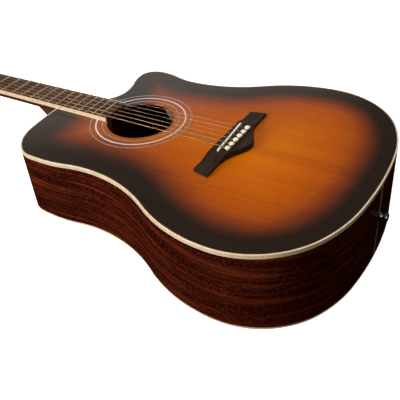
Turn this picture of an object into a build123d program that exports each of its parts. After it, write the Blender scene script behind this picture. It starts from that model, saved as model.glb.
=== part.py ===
from build123d import *
import math
import os

os.makedirs("parts", exist_ok=True)

# Steel-string acoustic guitar with a cutaway, lying on its flat back.  Millimetres.
# Row frame: +X towards the tail, +Y towards the treble strings and the cutaway, +Z up.
# The origin is on the outer face of the back, below the centre of the soundhole.
# The soundboard lies in the plane TOP, tilted about Y by the taper of the body.

# ---------------------------------------------------------------- driving sizes
SCALE_LENGTH = 648.0
FRET_COUNT = 20
JOINT_FRET = 14
NUT_TO_HOLE = 503.3
BODY_LENGTH = 502.8
DEPTH_AT_NECK = 97.0
DEPTH_AT_TAIL = 122.0

# Plan of the body: distance from the neck joint and half-width at each station
SHOULDER_FROM_JOINT, SHOULDER_HALF, SHOULDER_HEADING = 33.3, 135.2, -36.7
UPPER_BOUT_FROM_JOINT, UPPER_BOUT_HALF = 80.2, 143.6
WAIST_FROM_JOINT, WAIST_HALF = 153.6, 135.4
LOWER_BOUT_FROM_JOINT, LOWER_BOUT_HALF = 369.1, 197.0
CORNER_FROM_TAIL, CORNER_HALF, CORNER_HEADING = 22.3, 126.1, 64.2
HORN_BOUT_FROM_JOINT, HORN_BOUT_HALF = 84.6, 146.7
HORN_TIP_FROM_JOINT, HORN_TIP_HALF = 56.3, 122.5
SCOOP_FROM_JOINT, SCOOP_HALF = 68.2, 63.8
SCOOP_START_FROM_JOINT = 33.0
SEAT_MARGIN = 0.8

SOUNDBOARD_THICK = 2.8
BACK_THICK = 2.8
SIDE_THICK = 2.2
BINDING_THICK, BINDING_HEIGHT = 2.2, 6.0
PURFLING_WIDTH, PURFLING_DEPTH = 1.2, 1.5
BACK_BINDING_THICK, BACK_BINDING_HEIGHT = 2.2, 3.0
TAIL_STRIP_WIDTH = 3.0
LINING_WIDTH, LINING_HEIGHT = 6.5, 16.0

SOUNDHOLE_RADIUS = 49.6
WHITE_RING_RADIUS, WHITE_RING_WIDTH = 66.0, 2.2
DARK_RING_RADII, DARK_RING_WIDTH = (56.8, 74.7), 2.2
RING_DEPTH = 1.2

NECK_BLOCK_LENGTH = 62.0
TAIL_BLOCK_LENGTH, TAIL_BLOCK_WIDTH = 20.0, 84.0
TENON_LENGTH, TENON_WIDTH, TENON_DEPTH = 18.0, 22.0, 62.0

BRACE_WIDTH, BRACE_HEIGHT = 8.0, 14.0
X_CROSSING, X_HALF_ANGLE = 78.0, 41.0
TRANSVERSE_GAP, TRANSVERSE_WIDTH = 12.0, 11.0
TONE_BAR_WIDTH, TONE_BAR_HEIGHT = 6.5, 9.0
TONE_BAR_X, TONE_BAR_PITCH, TONE_BAR_ANGLE = 232.0, 48.0, 62.0
FINGER_WIDTH, FINGER_HEIGHT, FINGER_LENGTH = 6.0, 7.0, 70.0
FINGER_X, FINGER_Y, FINGER_PITCH, FINGER_ANGLE = 106.0, 98.0, 42.0, 60.0
PLATE_LENGTH, PLATE_WIDTH, PLATE_THICK = 150.0, 42.0, 2.6
BACK_BRACE_X = (-58.0, 40.0, 140.0, 245.0)
BACK_BRACE_WIDTHS = (8.0, 8.0, 16.0, 16.0)
BACK_BRACE_HEIGHTS = (15.0, 15.0, 11.0, 11.0)
BACK_STRIP_WIDTH, BACK_STRIP_THICK = 14.0, 2.4

# Neck and fingerboard
NUT_WIDTH, END_WIDTH = 42.0, 51.0
NUT_THICK, BOARD_THICK = 5.0, 6.0
BOARD_BINDING = 1.6
BOARD_END_FROM_NUT = 458.5
NECK_DEPTH_AT_NUT, NECK_DEPTH_AT_HEEL = 14.5, 15.5
FRET_CROWN_WIDTH, FRET_CROWN_HEIGHT = 2.2, 1.0
FRET_TANG_WIDTH, FRET_TANG_DEPTH = 0.6, 1.8
MARKER_FRETS = (5, 7, 9, 12, 15, 17)
DOUBLE_MARKER_FRET = 12
FACE_DOT_RADIUS, SIDE_DOT_RADIUS, DOT_DEPTH = 2.0, 1.1, 1.0
DOUBLE_FACE_DOT_Y, DOUBLE_SIDE_DOT_PITCH = 14.0, 8.0
ROD_WIDTH, ROD_HEIGHT, ROD_FROM_NUT = 6.0, 6.0, 9.0
ROD_NUT_RADIUS, ROD_NUT_LENGTH = 3.0, 12.0
ROD_CLEARANCE = 0.2
TENON_CLEARANCE = 0.15
HEEL_RISE = 4.5
HEEL_LENGTHS = (80.0, 54.0, 38.0, 26.0, 20.0)
HEEL_DEPTH_SHARES = (0.05, 0.22, 0.42, 0.70, 1.0)
HEEL_WIDTH_SHARES = (0.96, 0.92, 0.80, 0.64, 0.54)

# Headstock
HEAD_ANGLE, HEAD_THICK, OVERLAY_THICK = 13.5, 14.5, 2.0
HEAD_LENGTH, HEAD_SHOULDER, HEAD_CROWN, HEAD_BLEND = 180.0, 27.0, 7.0, 30.0
HEAD_BLEND_INSET, HEAD_BLEND_DROP = 3.0, 0.4
HEAD_ROOT_HALF, HEAD_TIP_HALF = 36.0, 34.0

# Tuning machines: three a side
POST_X, POST_Y = (-45.0, -85.0, -125.0), 24.5
POST_RADIUS, POST_WAIST_RADIUS, POST_ABOVE = 3.0, 2.7, 15.0
WINDING_TURNS, WINDING_BASE = 3, 6.0
BUSHING_RADIUS, BUSHING_FLANGE, BUSHING_FLANGE_THICK, BUSHING_DEPTH = 4.6, 6.6, 1.2, 9.0
RUNNING_CLEARANCE = 0.05
BODY_CLEARANCE = 0.3
GEAR_TEETH, GEAR_RADIUS, GEAR_THICK, GEAR_TOOTH_DEPTH = 14, 5.0, 4.0, 0.9
WORM_RADIUS, WORM_LENGTH, WORM_PITCH, WORM_GROOVE = 2.6, 8.0, 2.2, 0.6
KNOB_SHAFT_RADIUS = 1.8
HOUSING_WALL, HOUSING_DROP = 1.4, 10.5
HOUSING_OUT, HOUSING_ROUND, POCKET_CLEARANCE = 9.5, 2.0, 0.4
PIVOT_RADIUS, PIVOT_LENGTH = 1.5, 1.0
KNOB_GAP = 1.5
KNOB_WIDTH, KNOB_LENGTH, KNOB_THICK, KNOB_COLLAR = 17.0, 12.5, 7.5, 1.4
SCREW_RADIUS, SCREW_HEAD_RADIUS, SCREW_LENGTH, SCREW_HEAD_THICK = 1.1, 2.1, 9.0, 1.3
EAR_LENGTH, EAR_THICK = 6.5, 1.8

# Bridge, saddle, pins and strings
BRIDGE_FRONT, BRIDGE_HEIGHT, BRIDGE_WING_HEIGHT = 139.6, 8.6, 4.4
BRIDGE_FRONT_HALF, BRIDGE_REAR_HALF, BRIDGE_WING_DEPTH = 79.0, 84.0, 23.0
BELLY_DEPTH, BELLY_HALF = 42.5, 57.0
BRIDGE_CROWN_HALF, BRIDGE_SCOOP_HALF = 40.0, 60.0
SADDLE_LENGTH, SADDLE_THICK, SADDLE_TREBLE_X, SADDLE_BASS_X = 74.0, 2.8, 147.0, 150.8
SADDLE_SLOT_DEPTH = 5.5
PIN_X, PIN_SPACING = 161.5, 11.1
PIN_SHANK_RADIUS, PIN_HEAD_RADIUS, PIN_HEAD_HEIGHT, PIN_LENGTH = 2.3, 3.9, 3.2, 22.0
PIN_HEAD_LIFT = 1.5
PIN_TIP_SHARE, PIN_NECK_SHARE, PIN_RIM_SHARE = 0.8, 0.85, 0.35
PIN_HOLE_CLEARANCE = 0.1
NUT_SPACING = 7.0
STRING_DIAMETERS = (0.305, 0.406, 0.61, 0.813, 1.067, 1.346)
STRING_OVER_NUT, STRING_OVER_SADDLE = 1.4, 10.8
NUT_SLOT_CLEARANCE, NUT_ABOVE_SLOT = 0.12, 0.7
BALL_RADIUS, BALL_SEAT_GAP = 2.0, 0.02
STRING_BEND_RADIUS = 1.6
STRING_SLOT_CLEARANCE, STRING_SLOT_LEAD = 0.15, 0.8
SADDLE_LIFT = 0.12

# Strap button on the tail
BUTTON_BELOW_TOP, BUTTON_BASE_RADIUS, BUTTON_WAIST_RADIUS = 53.0, 6.0, 4.0
BUTTON_HEAD_RADIUS, BUTTON_LENGTH, BUTTON_HEAD_LENGTH = 6.5, 11.5, 3.5
BUTTON_DOME_SHARE, BUTTON_DOME_DROP_SHARE = 0.85, 0.1
BUTTON_BAND = 2.0
BUTTON_SCREW_RADIUS, BUTTON_SCREW_HEAD_RADIUS = 2.0, 3.8
CROSS_SLOT_SHARE = 1.4

# ---------------------------------------------------------------- derived frame
TAPER = math.degrees(math.atan((DEPTH_AT_TAIL - DEPTH_AT_NECK) / BODY_LENGTH))


def tilted(origin, degrees):
    """A plane through origin whose X climbs by the angle and whose Y is the frame's Y."""
    angle = math.radians(degrees)
    x_dir = (math.cos(angle), 0, math.sin(angle))
    return Plane(origin=origin, x_dir=x_dir, z_dir=(-math.sin(angle), 0, math.cos(angle)))


def fret_x(number):
    """Distance of a fret from the soundhole centre, along the strings."""
    return SCALE_LENGTH * (1 - 2 ** (-number / 12)) - NUT_TO_HOLE


NUT_X = fret_x(0)
JOINT_X = fret_x(JOINT_FRET)
TAIL_X = JOINT_X + BODY_LENGTH
BOARD_END_X = NUT_X + BOARD_END_FROM_NUT
DEPTH_AT_HOLE = DEPTH_AT_NECK - JOINT_X * math.tan(math.radians(TAPER))
TOP = tilted((0, 0, DEPTH_AT_HOLE), TAPER)
HEAD = tilted(TOP.from_local_coords((NUT_X - NUT_THICK, 0, 0)), TAPER + HEAD_ANGLE)
THROUGH = 2 * max(DEPTH_AT_NECK, DEPTH_AT_TAIL)
ROD_AXIS_DEPTH = BINDING_HEIGHT + ROD_NUT_RADIUS + 2 * ROD_CLEARANCE


def across(plane, x):
    """The cross-section plane at x of a tilted plane: local X is +Y, local Y is up."""
    return Plane(origin=plane.from_local_coords((x, 0, 0)), x_dir=(0, 1, 0), z_dir=plane.x_dir)


def along(plane, y):
    """The lengthwise plane at y of a tilted plane: local X runs to the tail, local Y is up."""
    return Plane(origin=plane.from_local_coords((0, y, 0)), x_dir=plane.x_dir, z_dir=(0, -1, 0))


def board_half(x):
    """Half the width of the bound fingerboard at x."""
    share = (x - NUT_X) / (BOARD_END_X - NUT_X)
    return (NUT_WIDTH + (END_WIDTH - NUT_WIDTH) * share) / 2


def string_y(number, x):
    """Sideways place of string 1 (thin) to 6 (thick), from the nut to the pins."""
    step = 3.5 - number
    share = (x - NUT_X) / (PIN_X - NUT_X)
    return step * (NUT_SPACING + (PIN_SPACING - NUT_SPACING) * share)


def finish(builder, label):
    """Name a finished piece and write it."""
    builder.part.label = label
    export_step(builder.part, f"parts/{label}.step")


# ---------------------------------------------------------------- plan of the body
def biarc_joint(start, start_tangent, end, end_tangent):
    """The point where two tangent arcs from start to end meet."""
    chord = end - start
    tangents = start_tangent + end_tangent
    turn = 2 * (1 - start_tangent.dot(end_tangent))
    if turn < 1e-9:
        reach = chord.dot(chord) / (4 * chord.dot(end_tangent))
    else:
        lean = chord.dot(tangents)
        reach = (math.sqrt(lean * lean + turn * chord.dot(chord)) - lean) / turn
    return (start + end + (start_tangent - end_tangent) * reach) / 2


def tangent_arcs(stations):
    """Draw two tangent arcs between each station (x, y, heading) and the next."""
    for first, second in zip(stations, stations[1:]):
        start, end = Vector(first[0], first[1]), Vector(second[0], second[1])
        start_tangent = Vector(1, 0).rotate(Axis.Z, first[2])
        end_tangent = Vector(1, 0).rotate(Axis.Z, second[2])
        joint = biarc_joint(start, start_tangent, end, end_tangent)
        opening = TangentArc(start, joint, tangent=start_tangent)
        TangentArc(joint, end, tangent=opening % 1)


SEAT_HALF = board_half(JOINT_X) + SEAT_MARGIN
BASS_STATIONS = (
    (JOINT_X, -SEAT_HALF, -90),
    (JOINT_X + SHOULDER_FROM_JOINT, -SHOULDER_HALF, SHOULDER_HEADING),
    (JOINT_X + UPPER_BOUT_FROM_JOINT, -UPPER_BOUT_HALF, 0),
    (JOINT_X + WAIST_FROM_JOINT, -WAIST_HALF, 0),
    (JOINT_X + LOWER_BOUT_FROM_JOINT, -LOWER_BOUT_HALF, 0),
    (TAIL_X - CORNER_FROM_TAIL, -CORNER_HALF, CORNER_HEADING),
    (TAIL_X, 0, 90),
)
TREBLE_STATIONS = (
    (TAIL_X, 0, 90),
    (TAIL_X - CORNER_FROM_TAIL, CORNER_HALF, 180 - CORNER_HEADING),
    (JOINT_X + LOWER_BOUT_FROM_JOINT, LOWER_BOUT_HALF, 180),
    (JOINT_X + WAIST_FROM_JOINT, WAIST_HALF, 180),
    (JOINT_X + HORN_BOUT_FROM_JOINT, HORN_BOUT_HALF, 180),
    (JOINT_X + HORN_TIP_FROM_JOINT, HORN_TIP_HALF, 270),
    (JOINT_X + SCOOP_FROM_JOINT, SCOOP_HALF, 270),
    (JOINT_X + SCOOP_START_FROM_JOINT, SEAT_HALF, 180),
)

with BuildSketch() as body_plan:
    with BuildLine():
        tangent_arcs(BASS_STATIONS)
        tangent_arcs(TREBLE_STATIONS)
        Line((JOINT_X + SCOOP_START_FROM_JOINT, SEAT_HALF), (JOINT_X, SEAT_HALF))
        Line((JOINT_X, SEAT_HALF), (JOINT_X, -SEAT_HALF))
    make_face()

PLANS = {0: body_plan.sketch}


def plan(inset):
    """The plan of the body, moved inwards by inset."""
    if inset not in PLANS:
        moved_in = dict(amount=-inset, kind=Kind.INTERSECTION, mode=Mode.PRIVATE)
        PLANS[inset] = offset(body_plan.sketch, **moved_in)
    return PLANS[inset]


def ring(outer, inner):
    """Draw the strip between two insets of the plan."""
    add(plan(outer))
    add(plan(inner), mode=Mode.SUBTRACT)


def cut_binding_channels():
    """Take the room of the two edge bindings out of the piece being made."""
    add(top_binding.part, mode=Mode.SUBTRACT)
    add(back_binding_ring.part, mode=Mode.SUBTRACT)


# ---------------------------------------------------------------- edges of the box
with BuildPart() as back_binding_ring:
    with BuildSketch(TOP):
        ring(0, BACK_BINDING_THICK)
    extrude(amount=-THROUGH)
    split(bisect_by=Plane.XY, keep=Keep.TOP)
    split(bisect_by=Plane.XY.offset(BACK_BINDING_HEIGHT), keep=Keep.BOTTOM)
finish(back_binding_ring, "back_binding")

with BuildPart() as top_binding:
    with BuildSketch(TOP):
        ring(0, BINDING_THICK)
    extrude(amount=-BINDING_HEIGHT)
finish(top_binding, "top_binding")

with BuildPart() as top_purfling:
    with BuildSketch(TOP):
        ring(BINDING_THICK, BINDING_THICK + PURFLING_WIDTH)
    extrude(amount=-PURFLING_DEPTH)
finish(top_purfling, "top_purfling")


def interior(inset):
    """The block of room between the soundboard and the back, inside an inset of the plan."""
    with BuildPart() as room:
        with BuildSketch(TOP.offset(-SOUNDBOARD_THICK)):
            add(plan(inset))
        extrude(amount=-THROUGH)
        split(bisect_by=Plane.XY.offset(BACK_THICK), keep=Keep.TOP)
    return room.part


BOX = interior(0)
ROOM = interior(SIDE_THICK)
OPEN_ROOM = interior(SIDE_THICK + LINING_WIDTH)


def pin_places():
    """Sideways places of the six bridge pins, thin string first."""
    return [(PIN_X, string_y(number, PIN_X)) for number in range(1, 7)]


def cut_pin_holes():
    """Bore the six pin holes, each with its string slot towards the saddle."""
    with BuildSketch(TOP.offset(BRIDGE_HEIGHT)) as holes:
        for number, (x, y) in enumerate(pin_places(), start=1):
            slot = STRING_DIAMETERS[number - 1] + 2 * STRING_SLOT_CLEARANCE
            with Locations((x, y)):
                Circle(PIN_SHANK_RADIUS + PIN_HOLE_CLEARANCE)
                reach = PIN_SHANK_RADIUS + PIN_HOLE_CLEARANCE + slot + STRING_SLOT_LEAD
                Rectangle(reach, slot, align=(Align.MAX, Align.CENTER))
    extrude(holes.sketch, amount=-(BRIDGE_HEIGHT + PIN_LENGTH), mode=Mode.SUBTRACT)


# ---------------------------------------------------------------- soundboard
with BuildPart() as rosette_white_ring:
    with BuildSketch(TOP):
        Circle(WHITE_RING_RADIUS + WHITE_RING_WIDTH / 2)
        Circle(WHITE_RING_RADIUS - WHITE_RING_WIDTH / 2, mode=Mode.SUBTRACT)
    extrude(amount=-RING_DEPTH)
finish(rosette_white_ring, "rosette_white_ring")

with BuildPart() as rosette_dark_rings:
    for radius in DARK_RING_RADII:
        with BuildSketch(TOP):
            Circle(radius + DARK_RING_WIDTH / 2)
            Circle(radius - DARK_RING_WIDTH / 2, mode=Mode.SUBTRACT)
        extrude(amount=-RING_DEPTH)
finish(rosette_dark_rings, "rosette_dark_rings")

with BuildPart() as soundboard:
    with BuildSketch(TOP):
        add(plan(BINDING_THICK))
        Circle(SOUNDHOLE_RADIUS, mode=Mode.SUBTRACT)
    extrude(amount=-SOUNDBOARD_THICK)
    add(top_purfling.part, mode=Mode.SUBTRACT)
    add(rosette_white_ring.part, mode=Mode.SUBTRACT)
    add(rosette_dark_rings.part, mode=Mode.SUBTRACT)
    cut_pin_holes()
finish(soundboard, "soundboard")

# ---------------------------------------------------------------- back, sides and blocks
with BuildPart() as back:
    with BuildSketch(TOP):
        add(plan(BACK_BINDING_THICK))
    extrude(amount=-THROUGH)
    split(bisect_by=Plane.XY, keep=Keep.TOP)
    split(bisect_by=Plane.XY.offset(BACK_THICK), keep=Keep.BOTTOM)
finish(back, "back")

BUTTON = Plane(
    origin=TOP.from_local_coords((TAIL_X, 0, -BUTTON_BELOW_TOP)), x_dir=(0, 1, 0), z_dir=TOP.x_dir
)


def cut_tail_hole(radius):
    """Bore the hole of the strap button's screw along the length of the body."""
    with BuildSketch(BUTTON) as hole:
        Circle(radius)
    extrude(hole.sketch, amount=-(TAIL_BLOCK_LENGTH + SIDE_THICK), mode=Mode.SUBTRACT)


def tail_slot(width):
    """Draw the strip across the centre line where the two sides meet at the tail."""
    with Locations((TAIL_X, 0)):
        Rectangle(4 * SIDE_THICK, width)


for label, hand in (("side_bass", -1), ("side_treble", 1)):
    with BuildPart() as side:
        add(BOX)
        add(ROOM, mode=Mode.SUBTRACT)
        cut_binding_channels()
        with BuildSketch(TOP):
            tail_slot(TAIL_STRIP_WIDTH)
        extrude(amount=-THROUGH, mode=Mode.SUBTRACT)
        with BuildSketch(across(TOP, JOINT_X + SIDE_THICK)):
            with Locations((0, -TENON_DEPTH / 2)):
                Rectangle(TENON_WIDTH, TENON_DEPTH)
        extrude(amount=-2 * SIDE_THICK, mode=Mode.SUBTRACT)
        cut_tail_hole(BUTTON_SCREW_RADIUS)
        split(bisect_by=Plane.XZ, keep=Keep.BOTTOM if hand > 0 else Keep.TOP)
    finish(side, label)

with BuildPart() as tail_strip:
    add(BOX)
    add(ROOM, mode=Mode.SUBTRACT)
    cut_binding_channels()
    with BuildSketch(TOP):
        tail_slot(TAIL_STRIP_WIDTH)
    extrude(amount=-THROUGH, mode=Mode.INTERSECT)
    cut_tail_hole(BUTTON_SCREW_RADIUS)
finish(tail_strip, "tail_strip")

with BuildPart() as neck_block_blank:
    with BuildSketch(TOP):
        with Locations((JOINT_X + SIDE_THICK, 0)):
            block_width = 2 * (SEAT_HALF - SIDE_THICK)
            Rectangle(NECK_BLOCK_LENGTH, block_width, align=(Align.MIN, Align.CENTER))
    extrude(amount=-THROUGH)
    add(ROOM, mode=Mode.INTERSECT)

with BuildPart() as neck_block:
    add(neck_block_blank.part)
    cut_binding_channels()
    with BuildSketch(TOP):
        with Locations((JOINT_X + SIDE_THICK, 0)):
            Rectangle(TENON_LENGTH - SIDE_THICK, TENON_WIDTH, align=(Align.MIN, Align.CENTER))
    extrude(amount=-TENON_DEPTH, mode=Mode.SUBTRACT)
    with BuildSketch(across(TOP, JOINT_X + SIDE_THICK)):
        with Locations((0, -ROD_AXIS_DEPTH)):
            Circle(ROD_NUT_RADIUS + ROD_CLEARANCE)
    extrude(amount=NECK_BLOCK_LENGTH, mode=Mode.SUBTRACT)
finish(neck_block, "neck_block")

with BuildPart() as tail_block:
    with BuildSketch(TOP):
        with Locations((TAIL_X - SIDE_THICK - TAIL_BLOCK_LENGTH, 0)):
            Rectangle(2 * TAIL_BLOCK_LENGTH, TAIL_BLOCK_WIDTH, align=(Align.MIN, Align.CENTER))
    extrude(amount=-THROUGH)
    add(ROOM, mode=Mode.INTERSECT)
    cut_binding_channels()
    cut_tail_hole(BUTTON_SCREW_RADIUS)
finish(tail_block, "tail_block")

with BuildPart() as lining_room:
    add(ROOM)
    add(OPEN_ROOM, mode=Mode.SUBTRACT)
    add(neck_block_blank.part, mode=Mode.SUBTRACT)
    add(tail_block.part, mode=Mode.SUBTRACT)

with BuildPart() as back_linings:
    add(lining_room.part)
    split(bisect_by=Plane.XY.offset(BACK_THICK + LINING_HEIGHT), keep=Keep.BOTTOM)

with BuildPart() as linings:
    add(lining_room.part)
    split(bisect_by=TOP.offset(-SOUNDBOARD_THICK - LINING_HEIGHT), keep=Keep.TOP)
    add(back_linings.part)
    cut_binding_channels()
finish(linings, "linings")

# ---------------------------------------------------------------- braces under the soundboard
UNDER_TOP = TOP.offset(-SOUNDBOARD_THICK)


def bar(centre, length, width, height, angle):
    """A straight bar glued under the soundboard, cut off at the linings."""
    with BuildPart() as piece:
        with BuildSketch(UNDER_TOP):
            with Locations(centre):
                Rectangle(length, width, rotation=angle)
        extrude(amount=-height)
        add(OPEN_ROOM, mode=Mode.INTERSECT)
    return piece.part


BRACE_REACH = 2 * BODY_LENGTH
X_LEGS = {
    "x_brace_bass": bar((X_CROSSING, 0), BRACE_REACH, BRACE_WIDTH, BRACE_HEIGHT, -X_HALF_ANGLE),
    "x_brace_treble": bar((X_CROSSING, 0), BRACE_REACH, BRACE_WIDTH, BRACE_HEIGHT, X_HALF_ANGLE),
}
UPPER_HALF = bar((X_CROSSING, 0), BRACE_REACH, BRACE_REACH, BRACE_HEIGHT / 2, 0)
TRANSVERSE_X = -(SOUNDHOLE_RADIUS + TRANSVERSE_GAP + TRANSVERSE_WIDTH / 2)
TRANSVERSE = bar((TRANSVERSE_X, 0), TRANSVERSE_WIDTH, BRACE_REACH, BRACE_HEIGHT, 0)
CROSSING = X_LEGS["x_brace_bass"] & X_LEGS["x_brace_treble"]
LEG_CUTS = {
    "x_brace_bass": CROSSING & UPPER_HALF,
    "x_brace_treble": CROSSING - UPPER_HALF,
}
LAPPED_LEGS = []
for label, leg in X_LEGS.items():
    with BuildPart() as x_leg:
        add(leg)
        with BuildSketch(UNDER_TOP):
            with Locations((TRANSVERSE_X + TRANSVERSE_WIDTH / 2, 0)):
                Rectangle(BRACE_REACH, BRACE_REACH, align=(Align.MIN, Align.CENTER))
        extrude(amount=-BRACE_HEIGHT, mode=Mode.INTERSECT)
        add(LEG_CUTS[label], mode=Mode.SUBTRACT)
    LAPPED_LEGS.append(x_leg.part.solid())
x_brace = Compound(label="x_brace", children=LAPPED_LEGS)
export_step(x_brace, "parts/x_brace.step")

with BuildPart() as transverse_brace:
    add(TRANSVERSE)
finish(transverse_brace, "transverse_brace")


def between_legs():
    """Draw the wedge of soundboard behind the crossing of the two X legs."""
    reach = math.tan(math.radians(X_HALF_ANGLE)) * BODY_LENGTH
    rear = X_CROSSING + BODY_LENGTH
    Polygon((X_CROSSING, 0), (rear, -reach), (rear, reach), align=None)


def cut_by_legs():
    """Keep the piece being made between the X legs and clear of them."""
    with BuildSketch(UNDER_TOP) as wedge:
        between_legs()
    extrude(wedge.sketch, amount=-BRACE_HEIGHT, mode=Mode.INTERSECT)
    for leg in X_LEGS.values():
        add(leg, mode=Mode.SUBTRACT)


with BuildPart() as tone_bars:
    for place in (0, 1):
        middle = (TONE_BAR_X + place * TONE_BAR_PITCH, 0)
        add(bar(middle, BRACE_REACH, TONE_BAR_WIDTH, TONE_BAR_HEIGHT, TONE_BAR_ANGLE))
    cut_by_legs()

with BuildPart() as soundboard_bars:
    for hand in (-1, 1):
        for place in (0, 1):
            middle = (FINGER_X + place * FINGER_PITCH, hand * FINGER_Y)
            add(bar(middle, FINGER_LENGTH, FINGER_WIDTH, FINGER_HEIGHT, hand * FINGER_ANGLE))
    for leg in X_LEGS.values():
        add(leg, mode=Mode.SUBTRACT)
    add(tone_bars.part)
finish(soundboard_bars, "soundboard_bars")

with BuildPart() as bridge_plate:
    add(bar((PIN_X, 0), PLATE_WIDTH, PLATE_LENGTH, PLATE_THICK, 0))
    cut_by_legs()
    add(tone_bars.part, mode=Mode.SUBTRACT)
    cut_pin_holes()
finish(bridge_plate, "bridge_plate")

# ---------------------------------------------------------------- braces inside the back
INSIDE_BACK = Plane.XY.offset(BACK_THICK)

with BuildPart() as back_braces:
    for x, width, height in zip(BACK_BRACE_X, BACK_BRACE_WIDTHS, BACK_BRACE_HEIGHTS):
        with BuildSketch(INSIDE_BACK):
            with Locations((x, 0)):
                Rectangle(width, BRACE_REACH)
        extrude(amount=height)
    add(OPEN_ROOM, mode=Mode.INTERSECT)
finish(back_braces, "back_braces")

with BuildPart() as back_strip:
    with BuildSketch(INSIDE_BACK):
        Rectangle(BRACE_REACH, BACK_STRIP_WIDTH)
    extrude(amount=BACK_STRIP_THICK)
    add(OPEN_ROOM, mode=Mode.INTERSECT)
    add(neck_block_blank.part, mode=Mode.SUBTRACT)
    add(tail_block.part, mode=Mode.SUBTRACT)
    add(back_braces.part, mode=Mode.SUBTRACT)
finish(back_strip, "back_strip")

# ---------------------------------------------------------------- bridge, saddle and pins
def saddle_place():
    """Middle of the saddle and its slant, in degrees, over the string spread."""
    spread = 5 * PIN_SPACING
    slant = math.degrees(math.atan((SADDLE_BASS_X - SADDLE_TREBLE_X) / spread))
    return ((SADDLE_BASS_X + SADDLE_TREBLE_X) / 2, 0), slant


def saddle_plan():
    """Draw the saddle's footprint."""
    middle, slant = saddle_place()
    with Locations(middle):
        SlotOverall(SADDLE_LENGTH, SADDLE_THICK, rotation=90 + slant)


with BuildPart() as bridge:
    with BuildSketch(TOP):
        with BuildLine():
            rear = BRIDGE_FRONT + BRIDGE_WING_DEPTH
            belly = BRIDGE_FRONT + BELLY_DEPTH
            front_edge = Line((BRIDGE_FRONT, -BRIDGE_FRONT_HALF), (BRIDGE_FRONT, BRIDGE_FRONT_HALF))
            Line(front_edge @ 1, (rear, BRIDGE_REAR_HALF))
            Line((rear, BRIDGE_REAR_HALF), (rear, BELLY_HALF))
            Spline(
                (rear, BELLY_HALF),
                (belly, 0),
                (rear, -BELLY_HALF),
                tangents=[(0, -1), (0, -1), (0, -1)],
            )
            Line((rear, -BELLY_HALF), (rear, -BRIDGE_REAR_HALF))
            Line((rear, -BRIDGE_REAR_HALF), front_edge @ 0)
        make_face()
    extrude(amount=BRIDGE_HEIGHT)
    with BuildSketch(across(TOP, BRIDGE_FRONT - 1)):
        with BuildLine():
            half = BRIDGE_REAR_HALF + 1
            Polyline((-BRIDGE_CROWN_HALF, BRIDGE_HEIGHT), (BRIDGE_CROWN_HALF, BRIDGE_HEIGHT))
            Spline(
                (BRIDGE_CROWN_HALF, BRIDGE_HEIGHT),
                (BRIDGE_SCOOP_HALF, BRIDGE_WING_HEIGHT),
                tangents=[(1, 0), (1, 0)],
            )
            Polyline(
                (BRIDGE_SCOOP_HALF, BRIDGE_WING_HEIGHT),
                (half, BRIDGE_WING_HEIGHT),
                (half, 0),
                (-half, 0),
                (-half, BRIDGE_WING_HEIGHT),
                (-BRIDGE_SCOOP_HALF, BRIDGE_WING_HEIGHT),
            )
            Spline(
                (-BRIDGE_SCOOP_HALF, BRIDGE_WING_HEIGHT),
                (-BRIDGE_CROWN_HALF, BRIDGE_HEIGHT),
                tangents=[(1, 0), (1, 0)],
            )
        make_face()
    extrude(amount=2 * BELLY_DEPTH, mode=Mode.INTERSECT)
    with BuildSketch(TOP.offset(BRIDGE_HEIGHT)):
        saddle_plan()
    extrude(amount=-SADDLE_SLOT_DEPTH, mode=Mode.SUBTRACT)
    cut_pin_holes()
finish(bridge, "bridge")

with BuildPart() as saddle:
    with BuildSketch(TOP.offset(STRING_OVER_SADDLE)):
        saddle_plan()
    extrude(amount=-(STRING_OVER_SADDLE - BRIDGE_HEIGHT + SADDLE_SLOT_DEPTH))
    crown = saddle.faces().sort_by(Axis(TOP.origin, TOP.z_dir))[-1]
    fillet(crown.edges(), radius=SADDLE_THICK / 3)
finish(saddle, "saddle")

PIN_HEAD_Z = BRIDGE_HEIGHT + PIN_HEAD_LIFT
with BuildPart() as bridge_pins:
    for x, y in pin_places():
        with BuildSketch(along(TOP, y)):
            with BuildLine():
                foot = BRIDGE_HEIGHT - PIN_LENGTH
                rim = PIN_HEAD_Z + PIN_HEAD_HEIGHT * PIN_RIM_SHARE
                crown_half = PIN_HEAD_RADIUS / 4
                Polyline(
                    (x + crown_half, PIN_HEAD_Z + PIN_HEAD_HEIGHT),
                    (x, PIN_HEAD_Z + PIN_HEAD_HEIGHT),
                    (x, foot),
                    (x + PIN_SHANK_RADIUS * PIN_TIP_SHARE, foot),
                    (x + PIN_SHANK_RADIUS, PIN_HEAD_Z),
                    (x + PIN_HEAD_RADIUS * PIN_NECK_SHARE, PIN_HEAD_Z),
                    (x + PIN_HEAD_RADIUS, rim),
                )
                Spline(
                    (x + PIN_HEAD_RADIUS, rim),
                    (x + crown_half, PIN_HEAD_Z + PIN_HEAD_HEIGHT),
                    tangents=[(0, 1), (-1, 0)],
                )
            make_face()
        revolve(axis=Axis(TOP.from_local_coords((x, y, 0)), TOP.z_dir))
finish(bridge_pins, "bridge_pins")

# ---------------------------------------------------------------- neck
def neck_section(plane, half, depth):
    """A D-shaped section: flat on top, half an ellipse below."""
    with BuildSketch(plane) as section:
        Ellipse(half, depth)
        Rectangle(3 * half, 3 * depth, align=(Align.CENTER, Align.MIN), mode=Mode.SUBTRACT)
    return section.sketch


def heel_section(share, length, width_share):
    """Half an ellipse lying level under the neck, its straight side on the body."""
    depth = share * (DEPTH_AT_NECK - HEEL_RISE)
    half = width_share * board_half(JOINT_X)
    with BuildSketch(TOP.offset(-depth)) as section:
        with Locations((JOINT_X, 0)):
            Ellipse(length, half)
            Rectangle(3 * length, 3 * half, align=(Align.MIN, Align.CENTER), mode=Mode.SUBTRACT)
    return section.sketch


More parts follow.
